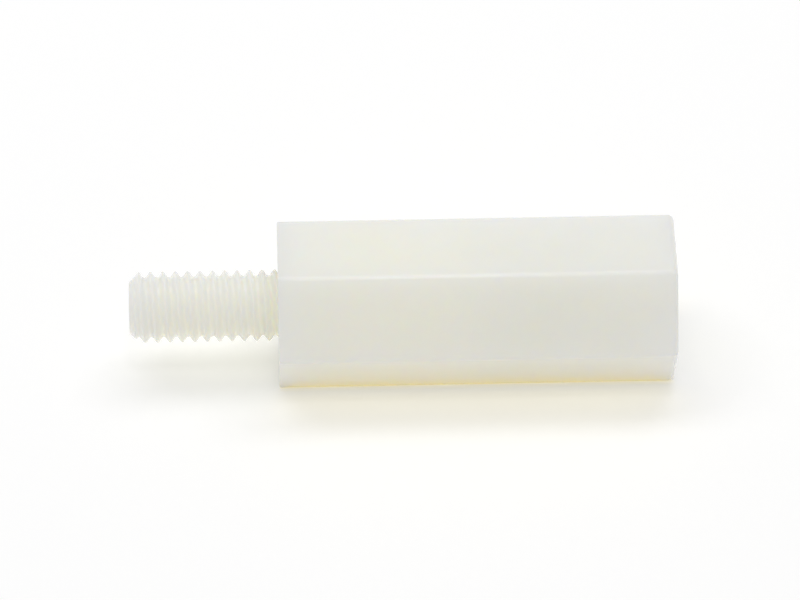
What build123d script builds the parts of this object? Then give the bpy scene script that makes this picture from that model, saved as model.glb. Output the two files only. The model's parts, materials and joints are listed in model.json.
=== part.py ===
from build123d import *
import os

# Hex standoff moulded in one piece: a threaded stud on one end, a blind threaded hole in the other.
# It lies on one of its flats. The origin is the centre of the shoulder, where the stud leaves the body.
# +X runs along the axis towards the hole's mouth, and +Z points up from the flat that it lies on.
# Both threads are plain here: the stud has its crests' diameter, the hole its own crests' diameter.

# Body, in millimetres
flat_count = 6
across_flats = 6.0
body_length = 16.0
edge_radius = 0.25

# Thread that the stud and the hole share
thread_diameter = 3.0
thread_pitch = 0.5

# Stud
stud_length = 6.0
stud_allowance = 0.12
tip_chamfer = 0.4

# Hole
hole_depth = 8.0
mouth_clearance = 0.1

# How far a cut runs past the face that it opens
overrun = 0.5

# Radii that follow from the thread
stud_radius = (thread_diameter - stud_allowance) / 2
hole_radius = (thread_diameter - thread_pitch) / 2
mouth_radius = (thread_diameter + mouth_clearance) / 2


def make_body():
    """Hexagonal bar, rounded along its length and around the hole's end, and sharp at the shoulder."""
    section = RegularPolygon(across_flats / 2, flat_count, major_radius=False)
    bar = extrude(Plane.YZ * section, body_length)
    long_edges = bar.edges().filter_by(Axis.X)
    rim_edges = bar.faces().sort_by(Axis.X)[-1].edges()
    return fillet(long_edges + rim_edges, edge_radius)


def make_stud():
    """Stud that stands out of the shoulder, with a chamfered tip."""
    shank = extrude(Plane.YZ * Circle(stud_radius), -stud_length)
    tip_edge = shank.edges().sort_by(Axis.X)[0]
    return chamfer(tip_edge, tip_chamfer)


def make_hole():
    """Blind flat-bottomed hole along the axis, flared at 45 degrees until its mouth clears the thread."""
    bottom = body_length - hole_depth
    flare = mouth_radius - hole_radius
    outline = Polyline(
        (bottom, 0),
        (bottom, hole_radius),
        (body_length - flare, hole_radius),
        (body_length + overrun, mouth_radius + overrun),
        (body_length + overrun, 0),
        close=True,
    )
    return revolve(Plane.XZ * make_face(outline), Axis.X)


standoff = make_body() + make_stud() - make_hole()

os.makedirs("parts", exist_ok=True)
export_step(standoff, "parts/hex_standoff.step")
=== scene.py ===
import json
import math

import bmesh
import bpy
from mathutils import Matrix, Vector


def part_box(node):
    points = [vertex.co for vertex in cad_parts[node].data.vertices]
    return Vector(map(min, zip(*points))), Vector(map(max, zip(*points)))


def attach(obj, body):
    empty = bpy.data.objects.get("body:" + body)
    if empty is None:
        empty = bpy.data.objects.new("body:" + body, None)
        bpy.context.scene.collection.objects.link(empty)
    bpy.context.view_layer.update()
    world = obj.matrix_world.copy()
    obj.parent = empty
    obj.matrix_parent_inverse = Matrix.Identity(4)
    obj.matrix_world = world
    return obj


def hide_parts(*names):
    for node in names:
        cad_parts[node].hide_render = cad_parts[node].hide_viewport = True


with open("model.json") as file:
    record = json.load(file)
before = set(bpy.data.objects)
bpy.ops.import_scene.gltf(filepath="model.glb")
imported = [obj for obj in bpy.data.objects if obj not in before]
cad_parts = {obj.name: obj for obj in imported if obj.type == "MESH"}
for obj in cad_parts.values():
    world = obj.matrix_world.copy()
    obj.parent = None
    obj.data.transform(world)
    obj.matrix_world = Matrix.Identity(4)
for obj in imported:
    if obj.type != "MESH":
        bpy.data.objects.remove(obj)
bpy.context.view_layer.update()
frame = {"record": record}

# A hex standoff of natural nylon that lies on a flat: a threaded stud on the left, a hexagonal body, and a
# threaded hole in the right end. One skin stands for the solid and adds the helical threads that the solid
# leaves plain. All sizes are in metres. +X runs along the axis towards the hole's mouth and +Z points up.

NODE = "hex_standoff"
TAU = 2 * math.pi
SIDES = 6
SECTOR = TAU / SIDES

# Overall sizes, from the solid and from its mounts
MILLIMETRE = 0.001
low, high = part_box(NODE)
mounts = {mount["name"]: mount for mount in frame["record"]["mounts"]}
stud_dims = mounts["stud"]["dims"]
hole_dims = mounts["threaded_hole"]["dims"]
apothem = high.z
body_length = high.x
stud_length = -low.x
stud_radius = stud_dims["r_mm"] * MILLIMETRE
tip_chamfer = stud_length - stud_dims["length_mm"] * MILLIMETRE
hole_radius = hole_dims["r_mm"] * MILLIMETRE

# Edges of the body
edge_radius = 0.25e-3
shoulder_break = 0.04e-3

# Hole
hole_depth = 8.0e-3
mouth_flare = hole_depth - hole_dims["length_mm"] * MILLIMETRE
hole_runout = 1.0e-3

# Threads, and the place along the axis where a crest crosses the +Y side
thread_pitch = 0.5e-3
thread_origin = -0.196e-3
stud_groove_depth = 0.230e-3
hole_groove_depth = 0.27e-3

# Shape of one thread: the share of the half pitch, counted from the middle of the groove, where the flank
# starts and where it ends, and the share over which its two ends are rounded
flank_start_share = 0.24
flank_end_share = 0.83
flank_round_share = 0.14

# Places in the half pitch, from groove to crest, where the skin has a row of points
stud_row_shares = (0.0, 0.12, 0.22, 0.31, 0.40, 0.52, 0.66, 0.80, 0.89, 0.95)
hole_row_shares = (0.0, 0.20, 0.32, 0.44, 0.80, 0.92)

# How finely the skin is divided. Every ring has as many points as the hexagon, so that rings join one to one
corner_steps = 14
flat_steps = 14
column_count = SIDES * (corner_steps + flat_steps)
ANGLES = [(column - corner_steps / 2) * TAU / column_count for column in range(column_count)]
rim_steps = 10
length_steps = 32
break_steps = 3
spare_turns = 2
merge_distance = 1.0e-7
row_margin = 0.004e-3
sharp_angle = math.radians(35)

# Camera, from the outline of the object in the photograph
image_width = 800
sensor_width = 36.0
focal_pixels = 6191.0
camera_distance = 0.250
camera_elevation = math.radians(42.73)
camera_azimuth = math.radians(-1.557)
camera_aim = Vector((4.923e-3, 0.0, 0.150e-3))
near_clip = 0.01

# Nylon: base colours, how far light of each colour travels in it, its gloss, and the noise behind its clouds
# and its fine lines
base_dark = (0.915, 0.912, 0.820, 1.0)
base_light = (0.935, 0.934, 0.850, 1.0)
scatter_length = 5.0e-3
scatter_shares = (1.0, 0.85, 0.60)
refractive_index = 1.53
least_roughness = 0.14
most_roughness = 0.17
cloud_stretch = (1.0, 1.0, 1.0)
cloud_scale = 350.0
cloud_detail = 3.0
line_stretch = (0.02, 1.0, 1.0)
line_scale = 1500.0
line_detail = 2.0
dark_until = 0.3
light_from = 0.7
bump_strength = 0.02
bump_distance = 0.002e-3

# Floor and studio light. Lamps are placed from the middle of the picture
floor_size = 2.0
floor_gap = 0.02e-3
floor_shade = 0.93
floor_lift = 0.20
room_strength = 0.565
white_strength = 1.0
softbox_length = 0.40
softbox_width = 0.12
softbox_place = Vector((-0.02, 0.085, 0.286))
softbox_power = 0.30
front_size = 0.02
front_place = Vector((0.0085, -0.09, 0.285))
front_power = 0.035

# Light that the nylon passes on, as unseen lamps beside it: under the resting flat, where it stops short of
# both ends by a margin, on the lower facets and along the edges below them, under the stud, and in the hole
warm_colour = (1.0, 0.76, 0.08)
ivory_colour = (1.0, 0.96, 0.75)
under_radiance = 0.45
under_margin = 0.30e-3
facet_radiance = 0.19
facet_glow_share = 0.9
edge_radiance = 0.23
edge_glow_share = 0.5
stud_radiance = 0.43
hole_power = 5.3e-5
hole_lamp_count = 4
hole_lamp_share = 0.25


def polar(radius, angle):
    """Point at a radius and an angle round the axis, counted from +Y towards +Z."""
    return radius * math.cos(angle), radius * math.sin(angle)


def hexagon(inset):
    """Points of the body's section with its rounded corners, moved in from its flats by an inset."""
    centre_distance = (apothem - edge_radius) / math.cos(SECTOR / 2)
    radius = edge_radius - inset
    points = []
    for corner in range(SIDES):
        middle = corner * SECTOR
        centre_y, centre_z = polar(centre_distance, middle)
        for step in range(corner_steps + 1):
            y, z = polar(radius, middle + (step / corner_steps - 0.5) * SECTOR)
            points.append((centre_y + y, centre_z + z))
        start_y, start_z = points[-1]
        next_y, next_z = polar(centre_distance, middle + SECTOR)
        y, z = polar(radius, middle + SECTOR / 2)
        for step in range(1, flat_steps):
            share = step / flat_steps
            points.append((
                start_y + share * (next_y + y - start_y),
                start_z + share * (next_z + z - start_z),
            ))
    return points


class Skin:
    """Points and faces of one closed surface that is put together ring by ring."""

    def __init__(self):
        self.points = []
        self.faces = []

    def point(self, x, y, z):
        self.points.append((x, y, z))
        return len(self.points) - 1

    def ring(self, x, section):
        return [self.point(x, y, z) for y, z in section]

    def circle(self, x, radius):
        return self.ring(x, [polar(radius, angle) for angle in ANGLES])

    def face(self, corners):
        """One face, without the corners that fall together."""
        distinct = list(dict.fromkeys(corners))
        if len(distinct) > 2:
            self.faces.append(distinct)

    def bridge(self, first, second):
        """Band of faces between two rings."""
        for column in range(-1, len(first) - 1):
            self.face([first[column], first[column + 1], second[column + 1], second[column]])

    def cap(self, ring, x):
        """Flat disc that closes a ring."""
        centre = self.point(x, 0.0, 0.0)
        for column in range(-1, len(ring) - 1):
            self.face([centre, ring[column], ring[column + 1]])


def flank_rise(share):
    """Rise of a flank with rounded ends, at a share of the half pitch from the middle of the groove."""
    from_start = math.hypot(share - flank_start_share, flank_round_share)
    from_end = math.hypot(share - flank_end_share, flank_round_share)
    return from_start - from_end


def thread_height(turn):
    """Height of a thread from its groove, 0, to its crest, 1, at a number of turns from a crest."""
    share = abs(2 * (turn % 1) - 1)
    lowest = flank_rise(0.0)
    highest = flank_rise(1.0)
    return (flank_rise(share) - lowest) / (highest - lowest)


def turn_shares(half_shares):
    """Places in one turn, from crest to crest, where the skin has a row of points."""
    falling = [(1 - share) / 2 for share in (1.0,) + half_shares[:0:-1]]
    rising = [(1 + share) / 2 for share in half_shares]
    return falling + rising


def turn_at(x, angle):
    """Turns from the crest that crosses +Y at the thread's origin to a place on the thread."""
    return (x - thread_origin) / thread_pitch - angle / TAU


def thread_band(skin, start, end, x_start, x_end, radius_at, half_shares):
    """Band between two rings whose rows follow the thread, so that crests and grooves are smooth lines."""
    shares = turn_shares(half_shares)
    first_turn = math.floor(turn_at(x_start, 0.0)) - spare_turns
    last_turn = math.ceil(turn_at(x_end, 0.0)) + spare_turns
    turns = [turn + share for turn in range(first_turn, last_turn) for share in shares]
    rows = []
    for turn in turns:
        row = []
        for column, angle in enumerate(ANGLES):
            x = thread_origin + thread_pitch * (turn + angle / TAU)
            if x < x_start + row_margin:
                row.append(start[column])
            elif x > x_end - row_margin:
                row.append(end[column])
            else:
                row.append(skin.point(x, *polar(radius_at(turn, x), angle)))
        rows.append(row)
    per_turn = len(shares)
    for index in range(len(rows) - per_turn - 1):
        lower = rows[index] + rows[index + per_turn][:1]
        upper = rows[index + 1] + rows[index + 1 + per_turn][:1]
        for column in range(len(ANGLES)):
            skin.face([lower[column], lower[column + 1], upper[column + 1], upper[column]])


def hole_radius_at(turn, x):
    """Radius of the hole: a thread that runs out above the bottom and opens into a 45 degree flare."""
    hole_bottom = body_length - hole_depth
    reach = min(1.0, (x - hole_bottom) / hole_runout)
    threaded = hole_radius + reach * hole_groove_depth * thread_height(turn)
    flared = hole_radius + mouth_flare - (body_length - x)
    return max(threaded, flared)


def stud_radius_at(turn, x):
    """Radius of the stud: a thread that a 45 degree chamfer cuts down at the tip."""
    threaded = stud_radius - stud_groove_depth * (1 - thread_height(turn))
    chamfered = stud_radius - tip_chamfer + (x + stud_length)
    return min(threaded, chamfered)


def add_hole(skin):
    """Bottom and threaded wall of the hole, and the ring at its mouth."""
    hole_bottom = body_length - hole_depth
    bottom = skin.circle(hole_bottom, hole_radius)
    mouth = skin.circle(body_length, hole_radius + mouth_flare)
    skin.cap(bottom, hole_bottom)
    thread_band(skin, bottom, mouth, hole_bottom, body_length, hole_radius_at, hole_row_shares)
    return mouth


def add_body(skin, mouth):
    """End face, rounded rim and hexagonal sides, and the ring where the shoulder starts."""
    last = mouth
    for step in range(rim_steps + 1):
        turn = (1 - step / rim_steps) * TAU / 4
        x = body_length - edge_radius * (1 - math.sin(turn))
        ring = skin.ring(x, hexagon(edge_radius * (1 - math.cos(turn))))
        skin.bridge(last, ring)
        last = ring
    sides_length = body_length - edge_radius - shoulder_break
    for step in range(1, length_steps):
        ring = skin.ring(shoulder_break + (1 - step / length_steps) * sides_length, hexagon(0.0))
        skin.bridge(last, ring)
        last = ring
    for step in range(break_steps + 1):
        turn = step / break_steps * TAU / 4
        x = shoulder_break * (1 - math.sin(turn))
        ring = skin.ring(x, hexagon(shoulder_break * (1 - math.cos(turn))))
        skin.bridge(last, ring)
        last = ring
    return last


def add_stud(skin, shoulder):
    """Shoulder face, threaded stud and chamfered tip."""
    section = []
    for angle in ANGLES:
        section.append(polar(stud_radius_at(turn_at(0.0, angle), 0.0), angle))
    root = skin.ring(0.0, section)
    tip = skin.circle(-stud_length, stud_radius - tip_chamfer)
    skin.bridge(shoulder, root)
    thread_band(skin, tip, root, -stud_length, 0.0, stud_radius_at, stud_row_shares)
    skin.cap(tip, -stud_length)


def make_mesh(skin):
    """Mesh of the skin with its faces turned outwards, smooth but for its sharp edges."""
    mesh = bpy.data.meshes.new("threaded_standoff")
    mesh.from_pydata(skin.points, [], skin.faces)
    work = bmesh.new()
    work.from_mesh(mesh)
    bmesh.ops.remove_doubles(work, verts=work.verts, dist=merge_distance)
    loose = [vertex for vertex in work.verts if not vertex.link_faces]
    bmesh.ops.delete(work, geom=loose, context="VERTS")
    bmesh.ops.recalc_face_normals(work, faces=work.faces)
    for face in work.faces:
        face.smooth = True
    for edge in work.edges:
        edge.smooth = edge.calc_face_angle(0.0) < sharp_angle
    work.to_mesh(mesh)
    work.free()
    return mesh


def make_standoff():
    """The whole standoff as one piece, in place of the plain solid."""
    skin = Skin()
    mouth = add_hole(skin)
    shoulder = add_body(skin, mouth)
    add_stud(skin, shoulder)
    piece = bpy.data.objects.new("threaded_standoff", make_mesh(skin))
    bpy.context.scene.collection.objects.link(piece)
    weighted = piece.modifiers.new("even_flats", "WEIGHTED_NORMAL")
    weighted.keep_sharp = True
    return piece


def new_material(name):
    """Empty node material, with its tree and its output node."""
    material = bpy.data.materials.new(name)
    material.use_nodes = True
    tree = material.node_tree
    tree.nodes.clear()
    return material, tree, tree.nodes.new("ShaderNodeOutputMaterial")


def noise(tree, coordinates, stretch, scale, detail):
    """Noise over the object's own coordinates, stretched by a factor along each axis."""
    mapping = tree.nodes.new("ShaderNodeMapping")
    mapping.inputs["Scale"].default_value = stretch
    tree.links.new(coordinates, mapping.inputs["Vector"])
    texture = tree.nodes.new("ShaderNodeTexNoise")
    texture.inputs["Scale"].default_value = scale
    texture.inputs["Detail"].default_value = detail
    tree.links.new(mapping.outputs["Vector"], texture.inputs["Vector"])
    return texture.outputs["Fac"]


def ramp(tree, factor, dark, light):
    """Colour that goes from dark to light with a factor."""
    node = tree.nodes.new("ShaderNodeValToRGB")
    node.color_ramp.elements[0].position = dark_until
    node.color_ramp.elements[0].color = dark
    node.color_ramp.elements[1].position = light_from
    node.color_ramp.elements[1].color = light
    tree.links.new(factor, node.inputs["Fac"])
    return node.outputs["Color"]


def spread(tree, factor, least, most):
    """Number that goes from least to most with a factor."""
    node = tree.nodes.new("ShaderNodeMapRange")
    node.inputs["To Min"].default_value = least
    node.inputs["To Max"].default_value = most
    tree.links.new(factor, node.inputs["Value"])
    return node.outputs["Result"]


def nylon_material():
    """Natural nylon: milky, faintly cloudy, satin, with fine lines along the body."""
    material, tree, output = new_material("natural_nylon")
    coordinates = tree.nodes.new("ShaderNodeTexCoord").outputs["Object"]
    clouds = noise(tree, coordinates, cloud_stretch, cloud_scale, cloud_detail)
    lines = noise(tree, coordinates, line_stretch, line_scale, line_detail)
    shader = tree.nodes.new("ShaderNodeBsdfPrincipled")
    shader.subsurface_method = "RANDOM_WALK"
    shader.inputs["Subsurface Weight"].default_value = 1.0
    shader.inputs["Subsurface Radius"].default_value = scatter_shares
    shader.inputs["Subsurface Scale"].default_value = scatter_length
    shader.inputs["IOR"].default_value = refractive_index
    colour = ramp(tree, clouds, base_dark, base_light)
    tree.links.new(colour, shader.inputs["Base Color"])
    tree.links.new(spread(tree, lines, least_roughness, most_roughness), shader.inputs["Roughness"])
    bump = tree.nodes.new("ShaderNodeBump")
    bump.inputs["Strength"].default_value = bump_strength
    bump.inputs["Distance"].default_value = bump_distance
    tree.links.new(lines, bump.inputs["Height"])
    tree.links.new(bump.outputs["Normal"], shader.inputs["Normal"])
    tree.links.new(shader.outputs["BSDF"], output.inputs["Surface"])
    return material


def seen_directly(tree):
    """1 for the rays that show the background itself, in the picture, in gloss or through glass, else 0."""
    path = tree.nodes.new("ShaderNodeLightPath")
    either = tree.nodes.new("ShaderNodeMath")
    either.operation = "MAXIMUM"
    tree.links.new(path.outputs["Is Camera Ray"], either.inputs[0])
    tree.links.new(path.outputs["Is Glossy Ray"], either.inputs[1])
    any_of_them = tree.nodes.new("ShaderNodeMath")
    any_of_them.operation = "MAXIMUM"
    tree.links.new(either.outputs["Value"], any_of_them.inputs[0])
    tree.links.new(path.outputs["Is Transmission Ray"], any_of_them.inputs[1])
    return any_of_them.outputs["Value"]


def floor_material():
    """White paper that keeps the shadow and is lifted to full white where it is seen directly."""
    material, tree, output = new_material("white_paper")
    paper = tree.nodes.new("ShaderNodeBsdfDiffuse")
    paper.inputs["Color"].default_value = (floor_shade, floor_shade, floor_shade, 1.0)
    lift = tree.nodes.new("ShaderNodeEmission")
    tree.links.new(spread(tree, seen_directly(tree), 0.0, floor_lift), lift.inputs["Strength"])
    both = tree.nodes.new("ShaderNodeAddShader")
    tree.links.new(paper.outputs["BSDF"], both.inputs[0])
    tree.links.new(lift.outputs["Emission"], both.inputs[1])
    tree.links.new(both.outputs["Shader"], output.inputs["Surface"])
    return material


def make_floor():
    """Floor under the flat that the standoff lies on."""
    half = floor_size / 2
    corners = [(-half, -half), (half, -half), (half, half), (-half, half)]
    mesh = bpy.data.meshes.new("floor")
    mesh.from_pydata([(x, y, low.z - floor_gap) for x, y in corners], [], [(0, 1, 2, 3)])
    mesh.materials.append(floor_material())
    floor = bpy.data.objects.new("floor", mesh)
    bpy.context.scene.collection.objects.link(floor)


def make_world():
    """White surroundings that light the object softly from all sides."""
    world = bpy.data.worlds.new("white_room")
    bpy.context.scene.world = world
    world.use_nodes = True
    tree = world.node_tree
    background = tree.nodes["Background"]
    background.inputs["Color"].default_value = (1.0, 1.0, 1.0, 1.0)
    strength = spread(tree, seen_directly(tree), room_strength, white_strength)
    tree.links.new(strength, background.inputs["Strength"])


def add_lamp(lamp, location):
    """Lamp object in the scene at a place."""
    holder = bpy.data.objects.new(lamp.name, lamp)
    holder.location = location
    bpy.context.scene.collection.objects.link(holder)
    return holder


def area_lamp(name, length, width, power):
    """Rectangular lamp whose length lies along X."""
    lamp = bpy.data.lights.new(name, "AREA")
    lamp.shape = "RECTANGLE"
    lamp.size = length
    lamp.size_y = width
    lamp.energy = power
    return lamp


def make_softbox(name, place, length, width, power):
    """Rectangular lamp at a place from the middle of the picture, turned towards it."""
    softbox = add_lamp(area_lamp(name, length, width, power), camera_aim + place)
    softbox.rotation_euler = place.to_track_quat("Z", "Y").to_euler()


def make_glow(name, centre, outward, length, width, colour, radiance):
    """Thin unseen lamp beside the nylon for the light that passes through it there."""
    lamp = area_lamp(name, length, width, radiance * math.pi * length * width)
    lamp.color = colour
    glow = add_lamp(lamp, centre)
    along = Vector((1.0, 0.0, 0.0))
    glow.rotation_euler = Matrix((along, along.cross(outward), -outward)).transposed().to_euler()
    glow.visible_camera = False
    glow.visible_glossy = False


def outward_below(side, angle):
    """Direction out of the body to the front, -1, or the back, 1, at an angle below the level."""
    return Vector((0.0, side * math.cos(angle), -math.sin(angle)))


def make_side_glows(side_name, side, middle, flat_width):
    """Light from one lower facet, and from the edge below it, onto the paper."""
    facet_width = facet_glow_share * flat_width
    outward = outward_below(side, SECTOR / 2)
    rise = Vector((0.0, side * math.sin(SECTOR / 2), math.cos(SECTOR / 2)))
    centre = middle + outward * (apothem + floor_gap) + rise * (flat_width - facet_width) / 2
    make_glow("glow_" + side_name, centre, outward, body_length, facet_width, warm_colour, facet_radiance)
    corner_distance = edge_radius + (apothem - edge_radius) / math.cos(SECTOR / 2)
    edge_width = edge_glow_share * edge_radius
    outward = outward_below(side, SECTOR)
    centre = middle + outward * (corner_distance + floor_gap / 2)
    make_glow("edge_" + side_name, centre, outward, body_length, edge_width, warm_colour, edge_radiance)


def make_glows():
    """Light from the paper into the resting flat and the stud, and from both lower sides onto the paper."""
    flat_width = 2 * (apothem - edge_radius) * math.tan(SECTOR / 2)
    middle = Vector((body_length / 2, 0.0, 0.0))
    up = Vector((0.0, 0.0, 1.0))
    under = middle - up * (apothem + floor_gap / 2)
    under_length = body_length - 2 * under_margin
    make_glow("glow_under", under, up, under_length, flat_width, warm_colour, under_radiance)
    make_side_glows("front", -1, middle, flat_width)
    make_side_glows("back", 1, middle, flat_width)
    below_stud = Vector((-stud_length / 2, 0.0, -stud_radius - floor_gap))
    make_glow("glow_stud", below_stud, up, stud_length, 2 * stud_radius, ivory_colour, stud_radiance)


def make_hole_glow():
    """Light inside the hole, which the wall around it lets through."""
    spacing = hole_depth / hole_lamp_count
    for number in range(hole_lamp_count):
        lamp = bpy.data.lights.new("glow_hole", "POINT")
        lamp.shadow_soft_size = hole_lamp_share * hole_radius
        lamp.color = ivory_colour
        lamp.energy = hole_power / hole_lamp_count
        glow = add_lamp(lamp, (body_length - (number + 0.5) * spacing, 0.0, 0.0))
        glow.visible_camera = False
        glow.visible_glossy = False


def make_camera():
    """Camera that looks down on the object from the photograph's side."""
    data = bpy.data.cameras.new("camera")
    data.sensor_width = sensor_width
    data.lens = focal_pixels * sensor_width / image_width
    data.clip_start = near_clip
    camera = bpy.data.objects.new("camera", data)
    level = math.cos(camera_elevation)
    direction = Vector((
        level * math.sin(camera_azimuth),
        -level * math.cos(camera_azimuth),
        math.sin(camera_elevation),
    ))
    camera.location = camera_aim + camera_distance * direction
    camera.rotation_euler = direction.to_track_quat("Z", "Y").to_euler()
    bpy.context.scene.collection.objects.link(camera)
    bpy.context.scene.camera = camera


bpy.context.scene.view_settings.view_transform = "Standard"

standoff = make_standoff()
standoff.data.materials.append(nylon_material())
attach(standoff, "root")
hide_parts(NODE)

make_floor()
make_world()
make_softbox("softbox", softbox_place, softbox_length, softbox_width, softbox_power)
make_softbox("lamp_front", front_place, front_size, front_size, front_power)
make_glows()
make_hole_glow()
make_camera()

bpy.context.view_layer.update()
